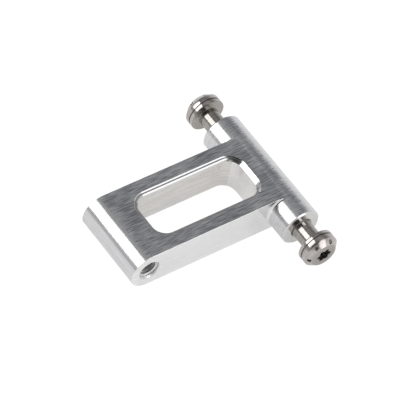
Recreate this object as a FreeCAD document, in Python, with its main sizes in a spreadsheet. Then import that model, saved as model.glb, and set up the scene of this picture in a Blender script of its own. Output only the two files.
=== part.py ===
"""Slotted pivot link: a one-piece aluminium T-shaped arm with a shoulder bolt in each barrel end.

Millimetres. X runs from the round end of the arm to the barrel, Y along the pivot axis, Z up.
The origin is the middle of the pivot axis, inside the barrel. Front is -Y and back is +Y.
"""
import FreeCAD, Part
import math
import os

import Sketcher
from FreeCAD import Placement, Rotation, Vector

SIZES = [
    ("barrel_diameter", 12.0, "cross barrel, outside"),
    ("barrel_length", 39.0, "cross barrel, face to face"),
    ("barrel_chamfer", 0.4, "edge of each barrel face"),
    ("arm_width", 24.0, "arm, along the pivot axis"),
    ("arm_thickness", 11.7, "arm, top face to bottom face"),
    ("arm_reach", 45.5, "pivot axis to the axis of the end thread"),
    ("root_fillet", 0.6, "inside corner between arm side and barrel"),
    ("slot_near", 5.3, "pivot axis to the near wall of the slot"),
    ("slot_far", 39.3, "pivot axis to the far wall of the slot"),
    ("slot_width", 14.0, "slot, along the pivot axis"),
    ("slot_corner", 4.0, "corner radius of the slot"),
    ("slot_chamfer", 1.1, "chamfer round the top of the slot"),
    ("end_thread_drill", 5.0, "tapping size of the M6 thread across the round end"),
    ("end_thread_mouth", 0.8, "chamfer at each mouth of the end thread"),
    ("edge_break", 0.2, "small chamfer along the lower rim of the slot"),
    ("shoulder_diameter", 6.0, "plain shoulder of the bolt"),
    ("shoulder_exposed", 6.3, "shoulder between barrel face and head"),
    ("shoulder_seat", 1.0, "shoulder inside the barrel's counterbore"),
    ("fit_gap", 0.05, "running clearance, each side"),
    ("seat_mouth", 0.4, "chamfer at the mouth of the counterbore"),
    ("thread_diameter", 5.0, "M5 thread of the bolt"),
    ("thread_length", 12.0, "threaded length of the bolt"),
    ("thread_tip", 0.5, "chamfer on the end of the thread"),
    ("tapped_depth", 15.0, "tapped length in each barrel end, past the counterbore"),
    ("core_diameter", 4.2, "drilling that joins the two tapped lengths"),
    ("head_diameter", 10.8, "bolt head"),
    ("head_height", 4.5, "bolt head, underside to top"),
    ("head_side", 2.9, "straight side of the head, below its 45 degree cone"),
    ("head_edge", 0.15, "small chamfer at the underside of the head"),
    ("groove_place", 1.3, "underside to the middle of the groove"),
    ("groove_width", 0.45, "groove round the side of the head"),
    ("groove_depth", 0.35, "groove round the side of the head"),
    ("drilling_diameter", 1.2, "small holes in the cone of the head"),
    ("drilling_depth", 1.4, "small holes, square to the cone"),
    ("drilling_place", 0.9, "foot of the cone to a small hole, along the bolt"),
    ("socket_core", 3.4, "six-lobe socket, across the hollows"),
    ("socket_across", 4.5, "six-lobe socket, across the lobe tips"),
    ("socket_lobe", 1.0, "six-lobe socket, width of a lobe"),
    ("socket_depth", 2.4, "six-lobe socket"),
]
DRILLINGS = 6
SOCKET_LOBES = 6
CONE_SLOPE = math.radians(45)
FRONT_HEAD_TURN = -6
BACK_HEAD_TURN = 20
SAME_PLACE = 0.01
RIM_MARGIN = 0.1

# How a sketch names the points of its own lines and arcs, its two axes and its origin.
START, END, CENTRE = 1, 2, 3
ACROSS_AXIS, UP_AXIS = -1, -2
ORIGIN = (ACROSS_AXIS, START)

doc = FreeCAD.newDocument("pivot_link")
sheet = doc.addObject("Spreadsheet::Sheet", "Sizes")
for row, (alias, value, note) in enumerate(SIZES, start=1):
    sheet.set(f"A{row}", alias)
    sheet.set(f"B{row}", str(value))
    sheet.set(f"C{row}", note)
    sheet.setAlias(f"B{row}", alias)
doc.recompute()


class Length:
    """A length from the sheet: its value now, and the expression that keeps it bound to the sheet."""

    def __init__(self, value, expression):
        self.value = value
        self.expression = expression

    def __add__(self, other):
        return Length(self.value + other.value, f"{self.expression} + {other.expression}")

    def __sub__(self, other):
        return Length(self.value - other.value, f"{self.expression} - ({other.expression})")

    def __mul__(self, factor):
        return Length(self.value * factor, f"({self.expression}) * {factor}")

    def __truediv__(self, divisor):
        return Length(self.value / divisor, f"({self.expression}) / {divisor}")

    def __neg__(self):
        return Length(-self.value, f"-({self.expression})")


def size(alias):
    return Length(float(sheet.get(alias)), f"Sizes.{alias}")


def origin_feature(body, role):
    """An origin plane or axis of a body, found by its role."""
    return next(item for item in body.Origin.OriginFeatures if item.Role == role)


def new_body(name):
    body = doc.addObject("PartDesign::Body", name)
    body.Label = name
    return body


def new_sketch(body, name, role):
    sketch = body.newObject("Sketcher::SketchObject", name)
    sketch.AttachmentSupport = [(origin_feature(body, role), "")]
    sketch.MapMode = "FlatFace"
    return sketch


def constrain(sketch, kind, *arguments, name=None, length=None):
    """Add a constraint. One with a length is named, and stays bound to the sheet."""
    if length is None:
        sketch.addConstraint(Sketcher.Constraint(kind, *arguments))
        return
    index = sketch.addConstraint(Sketcher.Constraint(kind, *arguments, length.value))
    sketch.renameConstraint(index, name)
    sketch.setExpression(f"Constraints.{name}", length.expression)


def half_profile(body, name, stations):
    """A closed outline beside the Y axis, in the XY plane.

    Each station is (name, radius, place), where a radius of None is on the axis. The outline
    starts and ends on the axis, and its straight sides join the stations in order.
    """
    sketch = new_sketch(body, name, "XY_Plane")
    points = [Vector(radius.value if radius else 0, place.value, 0) for _, radius, place in stations]
    count = len(points)
    for index, point in enumerate(points):
        sketch.addGeometry(Part.LineSegment(point, points[(index + 1) % count]), False)
    for index in range(count):
        constrain(sketch, "Coincident", index, END, (index + 1) % count, START)
    for index, (label, radius, place) in enumerate(stations):
        if radius:
            constrain(sketch, "DistanceX", *ORIGIN, index, START, name=f"{label}_radius", length=radius)
        else:
            constrain(sketch, "PointOnObject", index, START, UP_AXIS)
        if place.value > 0:
            constrain(sketch, "DistanceY", *ORIGIN, index, START, name=f"{label}_place", length=place)
        else:
            constrain(sketch, "DistanceY", index, START, *ORIGIN, name=f"{label}_place", length=-place)
    return sketch


def spin(body, kind, name, sketch):
    """A Revolution or Groove of a sketch about the body's Y axis."""
    feature = body.newObject(f"PartDesign::{kind}", name)
    feature.Profile = sketch
    feature.ReferenceAxis = (origin_feature(body, "Y_Axis"), [""])
    feature.Angle = 360
    return feature


def round_end_outline(body):
    """Side view of the arm: flat top and bottom, a full round at the end, closed at the pivot axis."""
    sketch = new_sketch(body, "arm_side_view", "XZ_Plane")
    reach, end_radius = size("arm_reach"), size("arm_thickness") / 2
    far, half = -reach.value, end_radius.value
    quarter = math.pi / 2
    corners = [Vector(far, half, 0), Vector(0, half, 0), Vector(0, -half, 0), Vector(far, -half, 0)]
    end_circle = Part.Circle(Vector(far, 0, 0), Vector(0, 0, 1), half)
    top = sketch.addGeometry(Part.LineSegment(corners[0], corners[1]), False)
    back = sketch.addGeometry(Part.LineSegment(corners[1], corners[2]), False)
    bottom = sketch.addGeometry(Part.LineSegment(corners[2], corners[3]), False)
    round_end = sketch.addGeometry(Part.ArcOfCircle(end_circle, quarter, 3 * quarter), False)
    constrain(sketch, "Coincident", top, END, back, START)
    constrain(sketch, "Coincident", back, END, bottom, START)
    constrain(sketch, "Tangent", top, START, round_end, START)
    constrain(sketch, "Tangent", bottom, END, round_end, END)
    constrain(sketch, "Horizontal", top)
    constrain(sketch, "Vertical", back)
    constrain(sketch, "Horizontal", bottom)
    constrain(sketch, "PointOnObject", top, END, UP_AXIS)
    constrain(sketch, "PointOnObject", round_end, CENTRE, ACROSS_AXIS)
    constrain(sketch, "Radius", round_end, name="end_radius", length=end_radius)
    constrain(sketch, "DistanceX", round_end, CENTRE, *ORIGIN, name="reach", length=reach)
    return sketch


def rounded_rectangle(body):
    """Plan of the slot, with round corners."""
    sketch = new_sketch(body, "slot_plan", "XY_Plane")
    near, far = size("slot_near"), size("slot_far")
    half_width, corner = size("slot_width") / 2, size("slot_corner")
    half_length = (far.value - near.value) / 2
    centre = Vector(-(near.value + far.value) / 2, 0, 0)
    straight_x, straight_y = half_length - corner.value, half_width.value - corner.value
    quarter = math.pi / 2
    sides, arcs = [], []
    for index in range(4):
        turn = Rotation(Vector(0, 0, 1), 90 * index)
        out, along = (half_length, straight_y) if index % 2 == 0 else (half_width.value, straight_x)
        start = centre + turn.multVec(Vector(out, -along, 0))
        end = centre + turn.multVec(Vector(out, along, 0))
        corner_centre = centre + turn.multVec(Vector(out - corner.value, along, 0))
        sides.append(sketch.addGeometry(Part.LineSegment(start, end), False))
        circle = Part.Circle(corner_centre, Vector(0, 0, 1), corner.value)
        arc = Part.ArcOfCircle(circle, index * quarter, (index + 1) * quarter)
        arcs.append(sketch.addGeometry(arc, False))
    for index in range(4):
        following = (index + 1) % 4
        constrain(sketch, "Tangent", sides[index], END, arcs[index], START)
        constrain(sketch, "Tangent", arcs[index], END, sides[following], START)
    for index in range(3):
        constrain(sketch, "Equal", arcs[index], arcs[index + 1])
    near_side, back_side, far_side, front_side = sides
    constrain(sketch, "Symmetric", near_side, START, near_side, END, ACROSS_AXIS)
    constrain(sketch, "Horizontal", back_side)
    constrain(sketch, "Vertical", far_side)
    constrain(sketch, "Horizontal", front_side)
    constrain(sketch, "DistanceX", near_side, START, *ORIGIN, name="near", length=near)
    constrain(sketch, "DistanceX", far_side, START, *ORIGIN, name="far", length=far)
    constrain(sketch, "DistanceY", *ORIGIN, back_side, START, name="half_width", length=half_width)
    constrain(sketch, "Radius", arcs[0], name="corner", length=corner)
    return sketch


def edges_where(feature, test):
    """Names of a feature's edges that pass a test."""
    return [f"Edge{number}" for number, edge in enumerate(feature.Shape.Edges, start=1) if test(edge)]


def dress(body, kind, name, base, edges, alias):
    """A Fillet or Chamfer on the named edges of the last feature, sized by the sheet."""
    if not edges:
        raise RuntimeError(f"{name}: no edges found")
    feature = body.newObject(f"PartDesign::{kind}", name)
    feature.Base = (base, edges)
    feature.setExpression("Radius" if kind == "Fillet" else "Size", size(alias).expression)
    doc.recompute()
    return feature


def remove_through(body, name, sketch):
    """A pocket right through the body, both ways from its sketch."""
    before = body.Shape.Volume
    pocket = body.newObject("PartDesign::Pocket", name)
    pocket.Profile = sketch
    pocket.SideType = "Symmetric"
    pocket.Type = "ThroughAll"
    doc.recompute()
    if body.Shape.Volume >= before:
        raise RuntimeError(f"{name} removes nothing")
    return pocket


def remove_round(body, name, sketch):
    """A groove about the Y axis, checked to remove something."""
    before = body.Shape.Volume
    groove = spin(body, "Groove", name, sketch)
    doc.recompute()
    if body.Shape.Volume >= before:
        raise RuntimeError(f"{name} removes nothing")
    return groove


def make_link_arm():
    """Arm and cross barrel, one piece, with the slot, the end thread and both bolt bores."""
    body = new_body("link_arm")
    half_thickness = size("arm_thickness").value / 2
    half_arm = size("arm_width").value / 2
    barrel_radius, barrel_half = size("barrel_diameter") / 2, size("barrel_length") / 2

    def near(value, wanted):
        return abs(value - wanted) < SAME_PLACE

    def on_arm_side(edge):
        return near(edge.BoundBox.YLength, 0) and near(abs(edge.BoundBox.Center.y), half_arm)

    arm = body.newObject("PartDesign::Pad", "arm")
    arm.Profile = round_end_outline(body)
    arm.SideType = "Symmetric"
    arm.setExpression("Length", size("arm_width").expression)
    doc.recompute()

    chamfer = size("barrel_chamfer")
    barrel = spin(body, "Revolution", "barrel", half_profile(body, "barrel_profile", [
        ("back_axis", None, barrel_half),
        ("back_face", barrel_radius - chamfer, barrel_half),
        ("back_edge", barrel_radius, barrel_half - chamfer),
        ("front_edge", barrel_radius, -(barrel_half - chamfer)),
        ("front_face", barrel_radius - chamfer, -barrel_half),
        ("front_axis", None, -barrel_half),
    ]))
    doc.recompute()

    def at_root(edge):
        round_edge = isinstance(edge.Curve, Part.Circle)
        return on_arm_side(edge) and round_edge and near(edge.Curve.Radius, barrel_radius.value)

    dress(body, "Fillet", "root_fillets", barrel, edges_where(barrel, at_root), "root_fillet")
    slot = remove_through(body, "slot", rounded_rectangle(body))
    slot_near, slot_far = size("slot_near").value, size("slot_far").value
    slot_half = size("slot_width").value / 2

    def slot_rim(height):
        def test(edge):
            box = edge.BoundBox
            level = near(box.ZLength, 0) and near(box.Center.z, height)
            along = box.XMin > -slot_far - RIM_MARGIN and box.XMax < -slot_near + RIM_MARGIN
            return level and along and abs(box.Center.y) < slot_half + RIM_MARGIN
        return test

    top_rim = edges_where(slot, slot_rim(half_thickness))
    rim = dress(body, "Chamfer", "slot_top_chamfer", slot, top_rim, "slot_chamfer")
    bottom_rim = edges_where(rim, slot_rim(-half_thickness))
    dress(body, "Chamfer", "slot_bottom_chamfer", rim, bottom_rim, "edge_break")

    reach, drill = size("arm_reach"), size("end_thread_drill")
    end_hole = new_sketch(body, "end_thread_plan", "XZ_Plane")
    circle = Part.Circle(Vector(-reach.value, 0, 0), Vector(0, 0, 1), drill.value / 2)
    hole = end_hole.addGeometry(circle, False)
    constrain(end_hole, "PointOnObject", hole, CENTRE, ACROSS_AXIS)
    constrain(end_hole, "DistanceX", hole, CENTRE, *ORIGIN, name="reach", length=reach)
    constrain(end_hole, "Diameter", hole, name="drill", length=drill)
    bore = remove_through(body, "end_thread", end_hole)

    def end_mouth(edge):
        return on_arm_side(edge) and near(edge.BoundBox.XLength, drill.value)

    dress(body, "Chamfer", "end_thread_mouths", bore, edges_where(bore, end_mouth), "end_thread_mouth")
    remove_round(body, "bolt_bores", bore_profile(body, barrel_half))
    return body


def bore_profile(body, barrel_half):
    """Both bolt bores and the drilling between them: a counterbore and a tapped length at each end."""
    seat = size("shoulder_diameter") / 2 + size("fit_gap")
    tapped = size("thread_diameter") / 2 + size("fit_gap")
    seat_floor = barrel_half - size("shoulder_seat") - size("fit_gap")
    tapped_end = barrel_half - size("shoulder_seat") - size("tapped_depth")
    one_end = [
        ("axis", None, barrel_half),
        ("mouth", seat + size("seat_mouth"), barrel_half),
        ("counterbore_top", seat, barrel_half - size("seat_mouth")),
        ("counterbore_floor", seat, seat_floor),
        ("tapped_top", tapped, seat_floor),
        ("tapped_bottom", tapped, tapped_end),
        ("core", size("core_diameter") / 2, tapped_end),
    ]
    back_end = [(f"back_{label}", radius, place) for label, radius, place in one_end]
    front_end = [(f"front_{label}", radius, -place) for label, radius, place in reversed(one_end)]
    return half_profile(body, "bore_profile", back_end + front_end)


def circle_sketch(body, name, diameter, level, place=None):
    """A circle in a plane square to the bolt, this far along it, on its axis or at a place on X."""
    sketch = new_sketch(body, name, "XZ_Plane")
    sketch.setExpression("AttachmentOffset.Base.z", level.expression)
    middle = Vector(place.value if place else 0, 0, 0)
    circle = sketch.addGeometry(Part.Circle(middle, Vector(0, 0, 1), diameter.value / 2), False)
    constrain(sketch, "Diameter", circle, name="diameter", length=diameter)
    if place:
        constrain(sketch, "PointOnObject", circle, CENTRE, ACROSS_AXIS)
        constrain(sketch, "DistanceX", *ORIGIN, circle, CENTRE, name="place", length=place)
    else:
        constrain(sketch, "Coincident", circle, CENTRE, *ORIGIN)
    return sketch


def drilling_outline(body, underside):
    """Half of a small hole, beside its own axis, which meets the cone at a right angle."""
    sketch = new_sketch(body, "drilling_profile", "XY_Plane")
    half_width = size("drilling_diameter") / 2
    length = size("drilling_depth") + half_width
    above_cone = half_width * math.cos(CONE_SLOPE)
    mouth_radius = size("head_diameter") / 2 - size("drilling_place") + above_cone
    mouth_place = underside + size("head_side") + size("drilling_place") + above_cone
    inward = Vector(-math.cos(CONE_SLOPE), math.sin(CONE_SLOPE), 0)
    across = Vector(math.sin(CONE_SLOPE), math.cos(CONE_SLOPE), 0) * half_width.value
    start = Vector(mouth_radius.value, -mouth_place.value, 0)
    end = start + inward * length.value
    points = [start, end, end + across, start + across]
    count = len(points)
    for index, point in enumerate(points):
        sketch.addGeometry(Part.LineSegment(point, points[(index + 1) % count]), False)
    for index in range(count):
        constrain(sketch, "Coincident", index, END, (index + 1) % count, START)
    for index in range(count - 1):
        constrain(sketch, "Perpendicular", index, index + 1)
    hole_axis, floor = 0, 1
    constrain(sketch, "Angle", hole_axis, math.pi - CONE_SLOPE)
    constrain(sketch, "Distance", floor, name="half_width", length=half_width)
    constrain(sketch, "Distance", hole_axis, name="length", length=length)
    constrain(sketch, "DistanceX", *ORIGIN, hole_axis, START, name="mouth_radius", length=mouth_radius)
    constrain(sketch, "DistanceY", hole_axis, START, *ORIGIN, name="mouth_place", length=mouth_place)
    return sketch


def pocket_from_top(body, name, sketch):
    """A socket pocket that starts at the top of the head, checked to remove something."""
    before = body.Shape.Volume
    pocket = body.newObject("PartDesign::Pocket", name)
    pocket.Profile = sketch
    pocket.setExpression("Length", size("socket_depth").expression)
    doc.recompute()
    if body.Shape.Volume >= before:
        raise RuntimeError(f"{name} removes nothing")
    return pocket


def repeat_round(body, name, feature, count):
    """A feature repeated evenly about the body's Y axis."""
    before = body.Shape.Volume
    pattern = body.newObject("PartDesign::PolarPattern", name)
    pattern.Originals = [feature]
    pattern.Axis = (origin_feature(body, "Y_Axis"), [""])
    pattern.Angle = 360
    pattern.Occurrences = count
    body.Tip = pattern
    doc.recompute()
    if body.Shape.Volume >= before:
        raise RuntimeError(f"{name} removes nothing")


def make_pivot_bolt(name, turn, flip):
    """Shoulder bolt, drawn with its head towards -Y and then turned to its own end of the barrel."""
    body = new_body(name)
    seat = size("barrel_length") / 2 - size("shoulder_seat")
    underside = size("barrel_length") / 2 + size("shoulder_exposed")
    top = underside + size("head_height")
    tip = seat - size("thread_length")
    groove, groove_half = underside + size("groove_place"), size("groove_width") / 2
    shoulder, thread = size("shoulder_diameter") / 2, size("thread_diameter") / 2
    head = size("head_diameter") / 2
    outline = [
        ("tip_axis", None, tip),
        ("tip_face", thread - size("thread_tip"), tip),
        ("tip_edge", thread, tip + size("thread_tip")),
        ("thread_top", thread, seat),
        ("shoulder_bottom", shoulder, seat),
        ("shoulder_top", shoulder, underside),
        ("underside", head - size("head_edge"), underside),
        ("rim", head, underside + size("head_edge")),
        ("groove_start", head, groove - groove_half),
        ("groove_floor", head - size("groove_depth"), groove),
        ("groove_end", head, groove + groove_half),
        ("cone_base", head, underside + size("head_side")),
        ("cone_top", head - (size("head_height") - size("head_side")), top),
        ("top_axis", None, top),
    ]
    stations = [(label, radius, -place) for label, radius, place in outline]
    spin(body, "Revolution", "turned_blank", half_profile(body, "bolt_profile", stations))
    doc.recompute()

    core = circle_sketch(body, "socket_core_plan", size("socket_core"), top)
    pocket_from_top(body, "socket_core", core)
    lobe_place = (size("socket_across") - size("socket_lobe")) / 2
    lobe = circle_sketch(body, "socket_lobe_plan", size("socket_lobe"), top, lobe_place)
    repeat_round(body, "socket_lobes", pocket_from_top(body, "socket_lobe", lobe), SOCKET_LOBES)

    drilling = body.newObject("PartDesign::Groove", "drilling")
    profile = drilling_outline(body, underside)
    drilling.Profile = profile
    drilling.ReferenceAxis = (profile, ["Edge1"])
    drilling.Angle = 360
    doc.recompute()
    repeat_round(body, "drillings", drilling, DRILLINGS)

    about_bolt = Rotation(Vector(0, 1, 0), turn)
    end_for_end = Rotation(Vector(0, 0, 1), 180 if flip else 0)
    body.Placement = Placement(Vector(), end_for_end.multiply(about_bolt))
    return body


def check_document(pieces):
    """Stop if any object failed, or any piece isn't one sound solid."""
    doc.recompute()
    for item in doc.Objects:
        if "Invalid" in item.State or "Error" in item.State:
            raise RuntimeError(f"{item.Name} failed: {item.State}")
    for piece in pieces:
        shape = piece.Shape
        if shape.isNull() or not shape.isValid() or len(shape.Solids) != 1:
            raise RuntimeError(f"{piece.Label} isn't one valid solid")


def main():
    pieces = [
        make_link_arm(),
        make_pivot_bolt("pivot_bolt_front", FRONT_HEAD_TURN, flip=False),
        make_pivot_bolt("pivot_bolt_back", BACK_HEAD_TURN, flip=True),
    ]
    check_document(pieces)
    os.makedirs("parts", exist_ok=True)
    for piece in pieces:
        shape = piece.Shape
        shape.exportStep(f"parts/{piece.Label}.step")
        print(f"{piece.Label}: {shape.Volume:.1f} mm3")


main()
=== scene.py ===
"""Looks of a slotted pivot link: a machined aluminium link and the two shoulder bolts in its barrel."""

import math

import bmesh
import bpy
from mathutils import Matrix, Vector


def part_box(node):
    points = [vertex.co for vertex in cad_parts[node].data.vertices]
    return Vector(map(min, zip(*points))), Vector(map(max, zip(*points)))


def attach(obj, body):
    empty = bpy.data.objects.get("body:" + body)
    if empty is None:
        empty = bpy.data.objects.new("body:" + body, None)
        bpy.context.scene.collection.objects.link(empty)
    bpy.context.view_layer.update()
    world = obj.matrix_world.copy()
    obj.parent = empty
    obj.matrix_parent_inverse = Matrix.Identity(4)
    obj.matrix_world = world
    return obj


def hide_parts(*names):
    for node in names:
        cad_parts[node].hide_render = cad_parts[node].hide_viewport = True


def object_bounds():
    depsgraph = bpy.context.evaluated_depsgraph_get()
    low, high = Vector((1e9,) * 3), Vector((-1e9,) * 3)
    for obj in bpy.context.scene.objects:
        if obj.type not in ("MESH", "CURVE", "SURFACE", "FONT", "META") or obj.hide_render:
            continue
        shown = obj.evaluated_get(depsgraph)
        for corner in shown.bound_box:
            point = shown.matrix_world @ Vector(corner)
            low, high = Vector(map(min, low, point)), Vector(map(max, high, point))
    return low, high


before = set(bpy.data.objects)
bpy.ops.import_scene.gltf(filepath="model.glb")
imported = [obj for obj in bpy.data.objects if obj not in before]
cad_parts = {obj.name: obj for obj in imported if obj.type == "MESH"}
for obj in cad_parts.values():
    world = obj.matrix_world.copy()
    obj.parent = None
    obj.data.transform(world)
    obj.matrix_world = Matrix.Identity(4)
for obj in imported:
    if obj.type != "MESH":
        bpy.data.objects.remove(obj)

CAD_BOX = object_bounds()
MM = 0.001

# Every shape below is drawn in millimetres in the frame of the CAD model: the barrel's axis is the Y axis,
# the arm runs along -X, and the side with the slot's stepped rim faces up.
LINK_LOW, LINK_HIGH = (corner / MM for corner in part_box("link_arm"))
BOLT_LOW, BOLT_HIGH = (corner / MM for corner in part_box("pivot_bolt_back"))

# The link's barrel and arm, and the fillet where they meet.
BARREL_RADIUS = LINK_HIGH.z
BARREL_END = LINK_HIGH.y
BARREL_CHAMFER = 0.4
ARM_SIDE = 12.0
ARM_TOP = 5.85
ARM_EDGE = 0.06
ROUND_END = LINK_LOW.x + ARM_TOP
ROOT_FILLET = 0.6

# The slot: its ends along X, half its width, its corners, the steps of its rim and the break below.
SLOT_NEAR, SLOT_FAR, SLOT_SIDE, SLOT_CORNER = -5.3, -39.3, 7.0, 4.0
SLOT_INNER_FACET, SLOT_LEDGE, SLOT_OUTER_FACET = 0.35, 0.45, 0.3
SLOT_BREAK = 0.2

# The thread across the round end, and the seats and threads in the barrel.
CROSS_MINOR, CROSS_MAJOR, CROSS_PITCH, CROSS_MOUTH = 2.5, 3.0, 1.0, 0.8
BORE_MOUTH, BORE_SEAT, BORE_SEAT_DEPTH = 3.45, 3.05, 1.05
BORE_MINOR, BORE_MAJOR, BORE_TAPPED, BORE_CORE = 2.56, 2.8, 3.5, 2.1

# A bolt, drawn with its head at +Y: thread, shoulder, head with its groove and cone, small drilled holes and
# six-lobe socket. The turns are in degrees and set where the small holes of each head stand.
THREAD_ROOT, THREAD_CREST, THREAD_PITCH, THREAD_TIP = 2.03, 2.5, 0.8, 0.5
THREAD_LENGTH, SHOULDER_RADIUS, HEAD_HEIGHT, CONE_HEIGHT = 12.0, 3.0, 4.5, 1.6
THREAD_END = BOLT_LOW.y
SHOULDER_START = THREAD_END + THREAD_LENGTH
HEAD_TOP = BOLT_HIGH.y
HEAD_RADIUS = BOLT_HIGH.z
HEAD_UNDER = HEAD_TOP - HEAD_HEIGHT
CONE_FOOT, CONE_TOP_RADIUS = HEAD_TOP - CONE_HEIGHT, HEAD_RADIUS - CONE_HEIGHT
GROOVE_PLACE, GROOVE_WIDTH, GROOVE_DEPTH = 1.3, 0.45, 0.35
DRILLING_PLACE, DRILLING_RADIUS, DRILLING_DEPTH, DRILLINGS = 0.9, 0.6, 1.4, 6
SOCKET_MEAN, SOCKET_WAVE, SOCKET_DEPTH, SOCKET_LOBES = 1.94, 0.31, 2.4, 6
FRONT_TURN, BACK_TURN = 6.0, -20.0

# How the meshes are made: distances at which points become one, how far a cutter stands out of what it cuts,
# points round each kind of curve, and the angle below which an edge is shaded smooth.
SAME_POINT, WELD = 1e-4, 0.001
OVER = 1.0
ROUND_STEPS, THREAD_STEPS, ARC_STEPS, CORNER_STEPS = 128, 48, 60, 12
DRILLING_STEPS, SOCKET_STEPS = 32, 96
LINK_SMOOTH_BELOW, BOLT_SMOOTH_BELOW = math.radians(10), math.radians(24)

# The dark and the light end of each metal's grain; some metals are also lightened or darkened to paint light
# or shade, as noted beside them.
ALUMINIUM = (0.70, 0.70, 0.715), (0.83, 0.83, 0.84)
BRUSHED_ALUMINIUM = (0.40, 0.415, 0.45), (0.93, 0.94, 0.97)
# The root fillet's metal, lightened to near white: a painted highlight along the fillet.
FILLET_PAINTED_HIGHLIGHT_ALUMINIUM = (0.93, 0.93, 0.93), (0.98, 0.98, 0.98)
FACED_ALUMINIUM = (0.75, 0.75, 0.745), (0.81, 0.81, 0.805)
MILLED_ALUMINIUM = (0.92, 0.915, 0.915), (0.98, 0.975, 0.975)
WALL_ALUMINIUM = (0.79, 0.77, 0.75), (0.91, 0.89, 0.865)
# The slot's near wall: a lighter copy of the wall metal, painted light on the wall that faces -X.
NEAR_WALL_PAINTED_LIGHT_ALUMINIUM = (0.93, 0.915, 0.91), (0.99, 0.975, 0.97)
FACET_ALUMINIUM = (0.61, 0.61, 0.625), (0.71, 0.71, 0.72)
TAPPED_ALUMINIUM = (0.80, 0.80, 0.79), (0.93, 0.93, 0.92)
STEEL = (0.37, 0.35, 0.325), (0.51, 0.485, 0.455)
# The head's steel: a lighter copy of the bolt's steel, painted light on the head's sides and cone.
HEAD_STEEL_PAINTED_LIGHT = (0.49, 0.455, 0.435), (0.62, 0.58, 0.56)
# The socket's steel, darkened: painted shade inside the recess.
SOCKET_STEEL_PAINTED_SHADE = (0.2, 0.19, 0.18), (0.45, 0.43, 0.4)

# The floor: its side in metres, what reflections see of it, and what the camera sees.
FLOOR_SIDE = 6.0
FLOOR_PAPER, FLOOR_GLOW, FLOOR_WHITE = 0.6, 0.47, 1.05

# The room: (height, brightness), and the direction in which it is dark, behind the camera.
ROOM_STOPS = (
    (0.0, 0.75), (0.26, 0.66), (0.48, 0.4), (0.66, 0.22), (0.76, 0.25), (0.88, 0.36), (1.0, 0.4))
ROOM_DARK = (-0.4555, -0.4573, 0.764)

# The softboxes: name, direction from the object, width and length in metres, radiance. POWER_PER_AREA is the
# watts that a square metre needs for a radiance of 1.
SOFTBOX_DISTANCE = 1.6
SOFTBOXES = (
    ("key", (-0.6175, 0.457, 0.6395), 1.25, 0.95, 1.7),
    ("fill", (0.25, -0.86, 0.46), 0.85, 0.8, 0.85),
    ("top", (0.27, -0.46, 0.845), 0.7, 0.6, 1.2),
)
POWER_PER_AREA = 4

# The camera: azimuth, elevation and roll in degrees, what it aims at, and how far off it stands.
CAMERA_ANGLES = -44.88, 49.82, 13.24
CAMERA_AIM, CAMERA_DISTANCE = (-15.68, 5.389, -6.119), 1009.17
CAMERA_LENS, CAMERA_SENSOR = 329.52, 36.0
CAMERA_CLIP = 0.01, 20.0


# ---------------------------------------------------------------- mesh making

def mesh_object(name, shape):
    """A scene object made from a bmesh drawn in millimetres."""
    bmesh.ops.remove_doubles(shape, verts=shape.verts, dist=SAME_POINT)
    bmesh.ops.recalc_face_normals(shape, faces=shape.faces)
    bmesh.ops.scale(shape, vec=(MM, MM, MM), verts=shape.verts)
    mesh = bpy.data.meshes.new(name)
    shape.to_mesh(mesh)
    shape.free()
    made = bpy.data.objects.new(name, mesh)
    bpy.context.scene.collection.objects.link(made)
    return made


def loft(name, loops):
    """A closed solid through loops that have the same number of points."""
    shape = bmesh.new()
    rows = [[shape.verts.new(point) for point in loop] for loop in loops]
    for near, far in zip(rows, rows[1:]):
        for i, vertex in enumerate(near):
            shape.faces.new((vertex, near[i - 1], far[i - 1], far[i]))
    shape.faces.new(rows[0])
    shape.faces.new(rows[-1])
    return mesh_object(name, shape)


def around(place, radius, turn):
    """A point at a place on the Y axis, a radius from it and a part of a turn round it."""
    angle = 2 * math.pi * turn
    return Vector((radius * math.cos(angle), place, -radius * math.sin(angle)))


def from_axis(point):
    """How far a point is from the Y axis."""
    return math.hypot(point.x, point.z)


def revolve(name, profile, ring=False, steps=ROUND_STEPS):
    """A solid of (place, radius) points turned about the Y axis; a ring's profile is closed on itself."""
    shape = bmesh.new()
    rows = []
    for place, radius in profile:
        count = steps if radius else 1
        rows.append([shape.verts.new(around(place, radius, i / steps)) for i in range(count)])
    pairs = list(zip(rows, rows[1:])) + ([(rows[-1], rows[0])] if ring else [])
    for near, far in pairs:
        for i in range(steps):
            corners = (near[i % len(near)], near[(i + 1) % len(near)],
                       far[(i + 1) % len(far)], far[i % len(far)])
            shape.faces.new(dict.fromkeys(corners))
    return mesh_object(name, shape)


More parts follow.
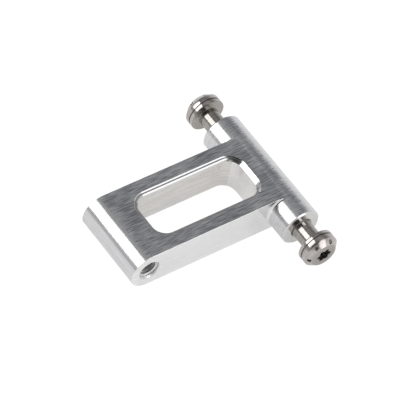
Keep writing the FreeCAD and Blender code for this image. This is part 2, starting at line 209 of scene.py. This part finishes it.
def screw(name, low, high, pitch, root, crest, trim):
    """A right-hand threaded rod along the Y axis; trim(place, radius) shapes its ends.

    The profile is one turn as (part of the pitch, radius): a flat root, straight flanks and a flat crest.
    """
    middle = (root + crest) / 2
    profile = ((0.0, root), (0.125, root), (0.25, middle), (0.4375, crest), (0.5, crest),
               (0.5625, crest), (0.75, middle), (0.875, root))
    count = len(profile)
    rows = count * (int((high - low) / pitch) + 2)

    def radius_at(phase):
        """The thread's radius at a part of its pitch."""
        points = profile + ((1.0, root),)
        for (start, near), (end, far) in zip(points, points[1:]):
            if start <= phase <= end:
                return near + (far - near) * (phase - start) / (end - start)

    def corner(row, turn):
        """A grid point of the rod's surface, held between its two ends."""
        share, radius = profile[row % count]
        place = low + pitch * (row // count - 1 + share + turn)
        if place <= low or place >= high:
            place = min(max(place, low), high)
            radius = radius_at(((place - low) / pitch - turn) % 1.0)
        return around(place, trim(place, radius), turn)

    shape = bmesh.new()
    columns = [[shape.verts.new(corner(row, i / THREAD_STEPS)) for row in range(rows)]
               for i in range(THREAD_STEPS)]
    first = columns[0]
    columns.append([first[min(row + count, rows - 1)] for row in range(rows)])
    for near, far in zip(columns, columns[1:]):
        for row in range(rows - 1):
            corners = dict.fromkeys((near[row], near[row + 1], far[row + 1], far[row]))
            if len(corners) > 2:
                shape.faces.new(corners)
    bmesh.ops.remove_doubles(shape, verts=shape.verts, dist=SAME_POINT)
    bmesh.ops.holes_fill(shape, edges=[edge for edge in shape.edges if edge.is_boundary], sides=0)
    return mesh_object(name, shape)


def combine(piece, other, operation):
    """Joins another solid to a piece, takes it away or keeps the overlap, and removes it from the scene."""
    modifier = piece.modifiers.new(operation, "BOOLEAN")
    modifier.operation = operation
    modifier.solver = "MANIFOLD"
    modifier.object = other
    graph = bpy.context.evaluated_depsgraph_get()
    result = bpy.data.meshes.new_from_object(piece.evaluated_get(graph))
    piece.modifiers.clear()
    piece.data = result
    bpy.data.objects.remove(other)
    return piece


def placed(piece, matrix):
    """The piece with its mesh moved by a matrix whose lengths are millimetres."""
    piece.data.transform(Matrix.Scale(MM, 4) @ matrix @ Matrix.Scale(1 / MM, 4))
    return piece


def finish_mesh(piece, rules, smooth_below):
    """Welds near points, gives each face the first material whose test passes, and sets the shading."""
    mesh = piece.data
    shape = bmesh.new()
    shape.from_mesh(mesh)
    bmesh.ops.remove_doubles(shape, verts=shape.verts, dist=WELD * MM)
    shape.to_mesh(mesh)
    shape.free()
    mesh.materials.clear()
    for material, _ in rules:
        mesh.materials.append(material)
    for face in mesh.polygons:
        centre, normal = face.center / MM, face.normal
        face.material_index = next(i for i, (_, test) in enumerate(rules) if test(centre, normal))
        face.use_smooth = True
    mesh.set_sharp_from_angle(angle=smooth_below)
    weighting = piece.modifiers.new("weighted_normals", "WEIGHTED_NORMAL")
    weighting.keep_sharp = True
    return piece


# ---------------------------------------------------------------- the link

def arm_outline(place, inset):
    """The arm's outline seen from the side, drawn in from its faces by an inset."""
    half = ARM_TOP - inset
    angles = [math.pi * i / ARC_STEPS for i in range(ARC_STEPS + 1)]
    arc = [(ROUND_END - half * math.sin(a), half * math.cos(a)) for a in angles]
    shading_margin = 0.3
    flat_end = ROUND_END + shading_margin
    outline = [(0, half), (flat_end, half), *arc, (flat_end, -half), (0, -half)]
    return [Vector((x, place, z)) for x, z in outline]


def slot_outline(height, out, near_out):
    """The slot's outline from above, drawn out from its walls, and from its near end by another amount."""
    radius = SLOT_CORNER + out
    middle = Vector(((SLOT_NEAR + SLOT_FAR) / 2, 0, height))
    half_x, half_y = (SLOT_NEAR - SLOT_FAR) / 2 + out - radius, SLOT_SIDE + out - radius
    points = []
    for corner, (side_x, side_y) in enumerate(((1, 1), (-1, 1), (-1, -1), (1, -1))):
        for i in range(CORNER_STEPS + 1):
            angle = math.pi / 2 * (corner + i / CORNER_STEPS)
            reach = Vector((math.cos(angle), math.sin(angle), 0)) * radius
            if side_x > 0:
                reach.x += near_out - out
            points.append(middle + Vector((side_x * half_x, side_y * half_y, 0)) + reach)
    return points


def slot_cutter():
    """The space of the slot: a break below, plain walls, and a rim above.

    The rim is two facets with a narrow ledge between them, and one plain chamfer at the near end.
    """
    inner, ledge, outer = SLOT_INNER_FACET, SLOT_LEDGE, SLOT_OUTER_FACET
    rim = inner + ledge + outer
    levels = (
        (-ARM_TOP - OVER, SLOT_BREAK + OVER, SLOT_BREAK + OVER),
        (-ARM_TOP + SLOT_BREAK, 0, 0),
        (ARM_TOP - rim, 0, 0),
        (ARM_TOP - outer - inner, 0, ledge),
        (ARM_TOP - outer, inner, inner + ledge),
        (ARM_TOP - outer, inner + ledge, inner + ledge),
        (ARM_TOP + OVER, rim + OVER, rim + OVER),
    )
    return loft("slot", [slot_outline(*level) for level in levels])


def root_fillet(side):
    """The fillet where the arm's side meets the barrel, cut off level with the arm's faces."""
    buried = 0.5
    outer = BARREL_RADIUS + ROOT_FILLET
    profile = [(ARM_SIDE - buried, BARREL_RADIUS - buried), (ARM_SIDE - buried, outer)]
    for i in range(CORNER_STEPS + 1):
        angle = math.pi / 2 * i / CORNER_STEPS
        place = ARM_SIDE + ROOT_FILLET * (1 - math.cos(angle))
        profile.append((place, outer - ROOT_FILLET * math.sin(angle)))
    profile.append((ARM_SIDE + ROOT_FILLET, BARREL_RADIUS - buried))
    ring = revolve("fillet", [(side * place, radius) for place, radius in profile], ring=True)
    reach = outer + OVER
    corners = ((-reach, -ARM_TOP), (0, -ARM_TOP), (0, ARM_TOP), (-reach, ARM_TOP))
    ends = (-BARREL_END, BARREL_END)
    keep = loft("fillet_space", [[Vector((x, place, z)) for x, z in corners] for place in ends])
    return combine(ring, keep, "INTERSECT")


def cross_thread():
    """The threaded hole across the round end, with its mouth chamfers."""
    def trim(place, radius):
        return max(radius, CROSS_MINOR + CROSS_MOUTH - (ARM_SIDE - abs(place)))

    cutter = screw("cross", -ARM_SIDE - OVER, ARM_SIDE + OVER, CROSS_PITCH, CROSS_MINOR, CROSS_MAJOR, trim)
    return placed(cutter, Matrix.Translation((ROUND_END, 0, 0)))


def barrel_bore():
    """The plain part of the bore through the barrel, with a seat for a shoulder at each end."""
    seat_floor = BARREL_END - BORE_SEAT_DEPTH
    half = [
        (BARREL_END + OVER, 0),
        (BARREL_END + OVER, BORE_MOUTH + OVER),
        (BARREL_END - (BORE_MOUTH - BORE_SEAT), BORE_SEAT),
        (seat_floor, BORE_SEAT),
        (seat_floor, BORE_MINOR),
        (BORE_TAPPED, BORE_MINOR),
        (BORE_TAPPED, BORE_CORE),
    ]
    return revolve("bore", half + [(-place, radius) for place, radius in reversed(half)])


def make_link():
    """The link: barrel, arm with its slot and round end, root fillets and threads."""
    end, chamfer = BARREL_END, BARREL_CHAMFER
    link = revolve("link_machined", [
        (-end, 0), (-end, BARREL_RADIUS - chamfer), (chamfer - end, BARREL_RADIUS),
        (end - chamfer, BARREL_RADIUS), (end, BARREL_RADIUS - chamfer), (end, 0)])
    loops = ((-ARM_SIDE, ARM_EDGE), (ARM_EDGE - ARM_SIDE, 0), (ARM_SIDE - ARM_EDGE, 0), (ARM_SIDE, ARM_EDGE))
    combine(link, loft("arm", [arm_outline(place, inset) for place, inset in loops]), "UNION")
    for side in (-1, 1):
        combine(link, root_fillet(side), "UNION")
    combine(link, slot_cutter(), "DIFFERENCE")
    combine(link, cross_thread(), "DIFFERENCE")
    combine(link, barrel_bore(), "DIFFERENCE")
    seat = BARREL_END - BORE_SEAT_DEPTH
    for low, high in ((BORE_TAPPED, seat), (-seat, -BORE_TAPPED)):
        tapped = screw("tapped", low, high, THREAD_PITCH, BORE_MINOR, BORE_MAJOR, lambda _, radius: radius)
        combine(link, tapped, "DIFFERENCE")
    return link


# ---------------------------------------------------------------- the bolts

def bolt_body():
    """The bolt's shoulder and head turned about its axis, with a small round on each edge."""
    soft, foot, share = 0.15, 0.25, 0.3
    buried = 0.1
    groove = HEAD_UNDER + GROOVE_PLACE
    cone_edge, cone_turned, cone_turning, top_turning = 0.1, 0.12, 0.04, 0.03
    profile = [
        (SHOULDER_START - buried, 0),
        (SHOULDER_START - buried, THREAD_ROOT - buried),
        (SHOULDER_START, SHOULDER_RADIUS - soft),
        (SHOULDER_START + soft, SHOULDER_RADIUS),
        (HEAD_UNDER - foot, SHOULDER_RADIUS),
        (HEAD_UNDER - share * foot, SHOULDER_RADIUS + share * foot),
        (HEAD_UNDER, SHOULDER_RADIUS + foot),
        (HEAD_UNDER, HEAD_RADIUS - soft),
        (HEAD_UNDER + share * soft, HEAD_RADIUS - share * soft),
        (HEAD_UNDER + soft, HEAD_RADIUS),
        (groove - GROOVE_WIDTH / 2, HEAD_RADIUS),
        (groove - GROOVE_WIDTH / 3, HEAD_RADIUS - GROOVE_DEPTH),
        (groove + GROOVE_WIDTH / 3, HEAD_RADIUS - GROOVE_DEPTH),
        (groove + GROOVE_WIDTH / 2, HEAD_RADIUS),
        (CONE_FOOT - cone_edge, HEAD_RADIUS),
        (CONE_FOOT, HEAD_RADIUS - cone_turning),
        (CONE_FOOT + cone_edge, HEAD_RADIUS - cone_turned),
        (HEAD_TOP - cone_edge, CONE_TOP_RADIUS + cone_edge),
        (HEAD_TOP - top_turning, CONE_TOP_RADIUS),
        (HEAD_TOP, CONE_TOP_RADIUS - cone_edge),
        (HEAD_TOP, 0),
    ]
    return revolve("bolt", profile)


def bolt_thread():
    """The bolt's thread, with a chamfered tip and its other end inside the shoulder."""
    inside = 0.05

    def trim(place, radius):
        return min(radius, THREAD_CREST - THREAD_TIP + (place - THREAD_END))

    return screw("thread", THREAD_END, SHOULDER_START + inside, THREAD_PITCH, THREAD_ROOT, THREAD_CREST, trim)


def drilling(index):
    """A small drilled hole square to the head's cone, with a pointed bottom and a broken mouth."""
    radius, deep, over, broken, point = DRILLING_RADIUS, DRILLING_DEPTH, 0.5, 0.08, 0.35
    profile = [(over, 0), (over, radius + broken + over), (-broken, radius), (-deep, radius),
               (-deep - point, 0)]
    hole = revolve("drilling", profile, steps=DRILLING_STEPS)
    tilt = Matrix.Rotation(-math.pi / 4, 4, "Z")
    mouth = Matrix.Translation((HEAD_RADIUS - DRILLING_PLACE, CONE_FOOT + DRILLING_PLACE, 0))
    turn = Matrix.Rotation(2 * math.pi * index / DRILLINGS, 4, "Y")
    return placed(hole, turn @ mouth @ tilt)


def socket():
    """The six-lobe socket, with a broken mouth and a shallow pointed bottom."""
    broken, over, point, point_scale = 0.12, 0.5, 0.4, 0.25
    floor = HEAD_TOP - SOCKET_DEPTH

    def outline(place, scale, out):
        points = []
        for i in range(SOCKET_STEPS):
            turn = i / SOCKET_STEPS
            radius = SOCKET_MEAN + SOCKET_WAVE * math.cos(2 * math.pi * SOCKET_LOBES * turn)
            points.append(around(place, radius * scale + out, turn))
        return points

    return loft("socket", [
        outline(HEAD_TOP + over, 1, broken + over), outline(HEAD_TOP - broken, 1, 0),
        outline(floor, 1, 0), outline(floor - point, point_scale, 0)])


def make_bolt(name, turn, flip):
    """One shoulder bolt, its head turned by degrees about its axis, and flipped to the front end."""
    bolt = combine(bolt_body(), bolt_thread(), "UNION")
    for index in range(DRILLINGS):
        combine(bolt, drilling(index), "DIFFERENCE")
    combine(bolt, socket(), "DIFFERENCE")
    bolt.name = bolt.data.name = name
    face = Matrix.Rotation(math.pi if flip else 0, 4, "Z")
    return placed(bolt, face @ Matrix.Rotation(math.radians(turn), 4, "Y"))


# ---------------------------------------------------------------- materials

def add(tree, kind, inputs=None, **settings):
    """A new node with its settings, and its inputs linked or set."""
    made = tree.nodes.new("ShaderNode" + kind)
    for name, value in settings.items():
        setattr(made, name, value)
    for name, value in (inputs or {}).items():
        if isinstance(value, bpy.types.NodeSocket):
            tree.links.new(value, made.inputs[name])
        else:
            made.inputs[name].default_value = value
    return made


def remap(tree, value, before, after=(0.0, 1.0)):
    """A value carried from one range to another and held inside it."""
    return add(tree, "MapRange", {
        "Value": value, "From Min": before[0], "From Max": before[1],
        "To Min": after[0], "To Max": after[1]}).outputs[0]


def streaks(per_mm, detail=5.0):
    """Grain that changes so many times a millimetre along X, Y and Z."""
    def build(tree):
        place = add(tree, "TexCoord").outputs["Object"]
        scaled = add(tree, "Mapping", {"Vector": place, "Scale": [value / MM for value in per_mm]})
        noise = add(tree, "TexNoise", {"Vector": scaled.outputs["Vector"], "Scale": 1.0, "Detail": detail})
        return noise.outputs["Fac"]
    return build


def facing_rings(per_mm):
    """Rings left by facing a part in the lathe, about the Y axis."""
    def build(tree):
        place = add(tree, "TexCoord").outputs["Object"]
        flat = add(tree, "VectorMath", {0: place, 1: (1, 0, 1)}, operation="MULTIPLY")
        reach = add(tree, "VectorMath", {0: flat.outputs[0]}, operation="LENGTH")
        rate = add(tree, "Math", {0: reach.outputs["Value"], 1: per_mm / MM}, operation="MULTIPLY")
        noise = add(tree, "TexNoise", {"W": rate.outputs[0], "Scale": 1.0, "Detail": 4.0},
                    noise_dimensions="1D")
        return noise.outputs["Fac"]
    return build


def metal(name, colours, roughness, grain, depth):
    """A bare metal whose colour, gloss and height follow a grain, over slow uneven patches."""
    patch_rate, patch_detail, patch_share = 0.15, 2.0, 0.3
    grain_low, grain_high, middle = 0.35, 0.65, 0.5
    span = (grain_low + patch_share * middle, grain_high + patch_share * middle)
    material = bpy.data.materials.new(name)
    material.use_nodes = True
    tree = material.node_tree
    shader = tree.nodes["Principled BSDF"]
    shader.inputs["Metallic"].default_value = 1.0
    grain_value = grain(tree)
    patches = streaks((patch_rate, patch_rate, patch_rate), patch_detail)(tree)
    weighed = add(tree, "Math", {0: patches, 1: patch_share, 2: grain_value}, operation="MULTIPLY_ADD")
    mixed = weighed.outputs[0]
    ramp = add(tree, "ValToRGB", {"Fac": remap(tree, mixed, span)})
    for element, colour in zip(ramp.color_ramp.elements, colours):
        element.color = (*colour, 1)
    tree.links.new(ramp.outputs["Color"], shader.inputs["Base Color"])
    tree.links.new(remap(tree, mixed, span, roughness), shader.inputs["Roughness"])
    bump = add(tree, "Bump", {"Height": grain_value, "Strength": 1.0, "Distance": depth * MM})
    tree.links.new(bump.outputs["Normal"], shader.inputs["Normal"])
    return material


def link_rules():
    """The link's materials, each with the test that finds its faces."""
    brushed = metal("brushed_top", BRUSHED_ALUMINIUM, (0.18, 0.3), streaks((0.25, 3.8, 1), 4.0), 0.008)
    round_end = metal("round_end", ALUMINIUM, (0.19, 0.23), streaks((3, 0.1, 3)), 0.0004)
    turned = metal("turned_barrel", ALUMINIUM, (0.19, 0.25), streaks((0.08, 4, 0.08)), 0.001)
    # The fillet's metal is painted near white: a painted highlight where the arm meets the barrel.
    fillet = metal("root_fillet", FILLET_PAINTED_HIGHLIGHT_ALUMINIUM, (0.1, 0.15), streaks((1, 2, 1)), 0.0002)
    faced = metal("faced_end", FACED_ALUMINIUM, (0.06, 0.1), facing_rings(3), 0.0001)
    sides = metal("milled_side", MILLED_ALUMINIUM, (0.16, 0.22), streaks((0.15, 1, 1.5)), 0.0003)
    walls = metal("slot_wall", WALL_ALUMINIUM, (0.2, 0.28), streaks((0.1, 0.1, 1.5)), 0.0003)
    # A lighter copy of the slot wall's metal for the near wall: painted light.
    near_wall = metal("slot_near_wall_painted_light", NEAR_WALL_PAINTED_LIGHT_ALUMINIUM, (0.2, 0.28), streaks((0.1, 0.1, 1.5)), 0.0003)
    facets = metal("slot_facet", FACET_ALUMINIUM, (0.12, 0.22), streaks((1.5, 1.5, 4)), 0.001)
    tapped = metal("tapped", TAPPED_ALUMINIUM, (0.38, 0.5), streaks((2, 3, 2)), 0.0003)
    mouth = metal("tapped_mouth", ALUMINIUM, (0.3, 0.4), streaks((2, 3, 2)), 0.0003)

    # Parts of a face's normal: square to the barrel, upright walls, the fillet's slant, the near wall.
    square, upright, slanted, facing_away = 0.9, 0.2, 0.05, -0.7
    brushed_cosine = math.cos(math.radians(13.0))
    # Distances: from a surface, round the slot, up to its rim, and from the arm's faces to the cross thread.
    skin, slot_reach, rim_from, thread_wall = 0.01, 1.2, 4.9, 1.5
    # Places along X where the arm's top runs into the barrel, and where its brushing ends on the crest.
    arm_top_end, crest_start, crest_end, crest_skin = -1.3, -1.34, 2.0, 0.1

    def in_slot(c):
        """Whether a point is inside the slot or its rim."""
        reach_x = abs(c.x - (SLOT_NEAR + SLOT_FAR) / 2) - (SLOT_NEAR - SLOT_FAR) / 2
        return max(reach_x, abs(c.y) - SLOT_SIDE) < slot_reach and abs(c.z) < ARM_TOP - 1e-3

    def in_bore(c):
        """Whether a point is inside the barrel's bore."""
        return from_axis(c) < BORE_MOUTH

    def in_hole(c):
        """Whether a point is inside the cross thread or the barrel's bore."""
        return math.hypot(c.x - ROUND_END, c.z) < ARM_TOP - thread_wall or in_bore(c)

    def on_top(c, n):
        """Whether a face is on the arm's top, or on the nearly level start of its round end."""
        return n.z > brushed_cosine and c.z > ARM_TOP * brushed_cosine and c.x < arm_top_end

    def on_barrel(c):
        """Whether a point is on the barrel's round face or outside it."""
        return from_axis(c) > BARREL_RADIUS - crest_skin

    return [
        (near_wall, lambda c, n: in_slot(c) and n.x < facing_away and not in_bore(c)),
        (walls, lambda c, n: in_slot(c) and abs(n.z) < upright and not in_bore(c)),
        (facets, lambda c, n: in_slot(c) and abs(n.z) >= upright and abs(c.z) > rim_from),
        (mouth, lambda c, n: in_hole(c) and ARM_SIDE - CROSS_MOUTH < abs(c.y) < ARM_SIDE - skin),
        (tapped, lambda c, n: in_hole(c) and abs(c.y) < ARM_SIDE - skin or in_bore(c)),
        (faced, lambda c, n: abs(n.y) > square and abs(c.y) > ARM_SIDE + ROOT_FILLET),
        (brushed, on_top),
        (fillet, lambda c, n: ARM_SIDE < abs(c.y) < ARM_SIDE + ROOT_FILLET and abs(n.y) > slanted),
        (turned, lambda c, n: from_axis(c) < BARREL_RADIUS + ROOT_FILLET and abs(c.y) > ARM_SIDE),
        (brushed, lambda c, n: c.z > 0 and crest_start < c.x < crest_end and on_barrel(c)),
        (turned, lambda c, n: c.x > crest_start and on_barrel(c)),
        (sides, lambda c, n: abs(n.y) > square),
        (brushed, lambda c, n: n.z < -brushed_cosine),
        (round_end, lambda c, n: True),
    ]


def bolt_rules(sign):
    """A bolt's materials, each with the test that finds its faces; sign is +1 for the back bolt."""
    thread = metal("bolt_thread_metal", STEEL, (0.2, 0.35), streaks((2, 6, 2)), 0.001)
    shoulder = metal("bolt_shoulder_metal", STEEL, (0.1, 0.17), streaks((0.1, 4, 0.1)), 0.0003)
    # The head is a lighter copy of the bolt's steel: painted light.
    head = metal("bolt_head_painted_light_metal", HEAD_STEEL_PAINTED_LIGHT, (0.1, 0.17), streaks((0.1, 4, 0.1)), 0.0004)
    faced = metal("bolt_faced_metal", STEEL, (0.15, 0.28), facing_rings(6), 0.001)
    # The socket's walls are painted dark: painted shade in the recess.
    inside = metal("bolt_socket_painted_shade_metal", SOCKET_STEEL_PAINTED_SHADE, (0.25, 0.4), streaks((2, 1, 2)), 0.001)

    skin, square = 0.01, 0.9
    socket_reach = SOCKET_MEAN + SOCKET_WAVE + 0.1

    return [
        (thread, lambda c, n: sign * c.y < SHOULDER_START),
        (shoulder, lambda c, n: sign * c.y < HEAD_UNDER - skin),
        (inside, lambda c, n: from_axis(c) < socket_reach and sign * c.y < HEAD_TOP - skin),
        (faced, lambda c, n: abs(n.y) > square),
        (head, lambda c, n: True),
    ]


# ---------------------------------------------------------------- stage, light and camera

def make_floor():
    """A plain floor: pure white to the camera, and a faintly glowing shaded paper to reflections."""
    shape = bmesh.new()
    bmesh.ops.create_grid(shape, x_segments=1, y_segments=1, size=FLOOR_SIDE / 2 / MM)
    floor = mesh_object("floor", shape)
    floor.location.z = CAD_BOX[0].z
    material = bpy.data.materials.new("floor_white")
    material.use_nodes = True
    tree = material.node_tree
    tree.nodes.clear()
    paper = add(tree, "BsdfDiffuse", {"Color": (FLOOR_PAPER, FLOOR_PAPER, FLOOR_PAPER, 1)})
    glow = add(tree, "Emission", {"Strength": FLOOR_GLOW})
    lit = add(tree, "AddShader", {0: paper.outputs[0], 1: glow.outputs[0]})
    white = add(tree, "Emission", {"Strength": FLOOR_WHITE})
    seen = add(tree, "LightPath").outputs["Is Camera Ray"]
    chosen = add(tree, "MixShader", {0: seen, 1: lit.outputs[0], 2: white.outputs[0]})
    add(tree, "OutputMaterial", {"Surface": chosen.outputs[0]})
    floor.data.materials.append(material)


def softbox(name, direction, across, along, radiance):
    """A rectangular light that faces the object from a direction, with one side along the barrel."""
    light = bpy.data.lights.new(name, "AREA")
    light.shape = "RECTANGLE"
    light.size, light.size_y = across, along
    light.energy = radiance * POWER_PER_AREA * across * along
    made = bpy.data.objects.new(name, light)
    outward = Vector(direction).normalized()
    side = Vector((0, 1, 0)).cross(outward).normalized()
    turn = Matrix((side, outward.cross(side), outward)).transposed().to_4x4()
    made.matrix_world = Matrix.Translation(outward * SOFTBOX_DISTANCE) @ turn
    made.visible_camera = False
    bpy.context.scene.collection.objects.link(made)


def make_world():
    """A grey room, lighter low down and towards -Y, darker towards -X and behind the camera."""
    world = bpy.data.worlds.new("studio")
    bpy.context.scene.world = world
    world.use_nodes = True
    tree = world.node_tree
    direction = add(tree, "TexCoord").outputs["Generated"]
    split = add(tree, "SeparateXYZ", {"Vector": direction})
    ramp = add(tree, "ValToRGB", {"Fac": split.outputs["Z"]})
    elements = ramp.color_ramp.elements
    while len(elements) < len(ROOM_STOPS):
        elements.new(0.5)
    for element, (height, brightness) in zip(elements, ROOM_STOPS):
        element.position = height
        element.color = (brightness, brightness, brightness, 1)
    round_end_side = remap(tree, split.outputs["X"], (-0.8, 0.2), (0.6, 1.0))
    front_side = remap(tree, split.outputs["Y"], (-0.95, -0.5), (1.8, 1.0))
    towards = add(tree, "VectorMath", {0: direction, 1: ROOM_DARK}, operation="DOT_PRODUCT")
    camera_side = remap(tree, towards.outputs["Value"], (0.6, 0.9), (1.0, 0.3))
    sideways = add(tree, "Math", {0: round_end_side, 1: front_side}, operation="MULTIPLY")
    strength = add(tree, "Math", {0: sideways.outputs[0], 1: camera_side}, operation="MULTIPLY")
    background = tree.nodes["Background"]
    tree.links.new(strength.outputs[0], background.inputs["Strength"])
    tree.links.new(ramp.outputs["Color"], background.inputs["Color"])


def make_camera():
    """The camera of the main view."""
    azimuth, elevation, roll = (math.radians(value) for value in CAMERA_ANGLES)
    level = math.cos(elevation)
    back = Vector((math.sin(azimuth) * level, -math.cos(azimuth) * level, math.sin(elevation)))
    right = Vector((math.cos(azimuth), math.sin(azimuth), 0))
    up = back.cross(right)
    across = math.cos(roll) * right + math.sin(roll) * up
    upward = math.cos(roll) * up - math.sin(roll) * right
    data = bpy.data.cameras.new("camera")
    data.lens, data.sensor_width = CAMERA_LENS, CAMERA_SENSOR
    data.clip_start, data.clip_end = CAMERA_CLIP
    camera = bpy.data.objects.new("camera", data)
    turn = Matrix((across, upward, back)).transposed().to_4x4()
    place = Vector(CAMERA_AIM) + CAMERA_DISTANCE * back
    camera.matrix_world = Matrix.Translation(place * MM) @ turn
    bpy.context.scene.collection.objects.link(camera)
    bpy.context.scene.camera = camera


def main():
    """Builds the pieces, the stage, the lights and the camera."""
    link = finish_mesh(make_link(), link_rules(), LINK_SMOOTH_BELOW)
    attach(link, "link")
    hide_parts("link_arm")
    for side, sign, turn in (("front", -1, FRONT_TURN), ("back", 1, BACK_TURN)):
        made = make_bolt(f"bolt_{side}_machined", turn, sign < 0)
        bolt = finish_mesh(made, bolt_rules(sign), BOLT_SMOOTH_BELOW)
        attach(bolt, f"bolt_{side}")
        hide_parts(f"pivot_bolt_{side}")
    make_floor()
    make_world()
    for name, direction, across, along, radiance in SOFTBOXES:
        softbox(name, direction, across, along, radiance)
    make_camera()
    bpy.context.scene.view_settings.view_transform = "Standard"


main()
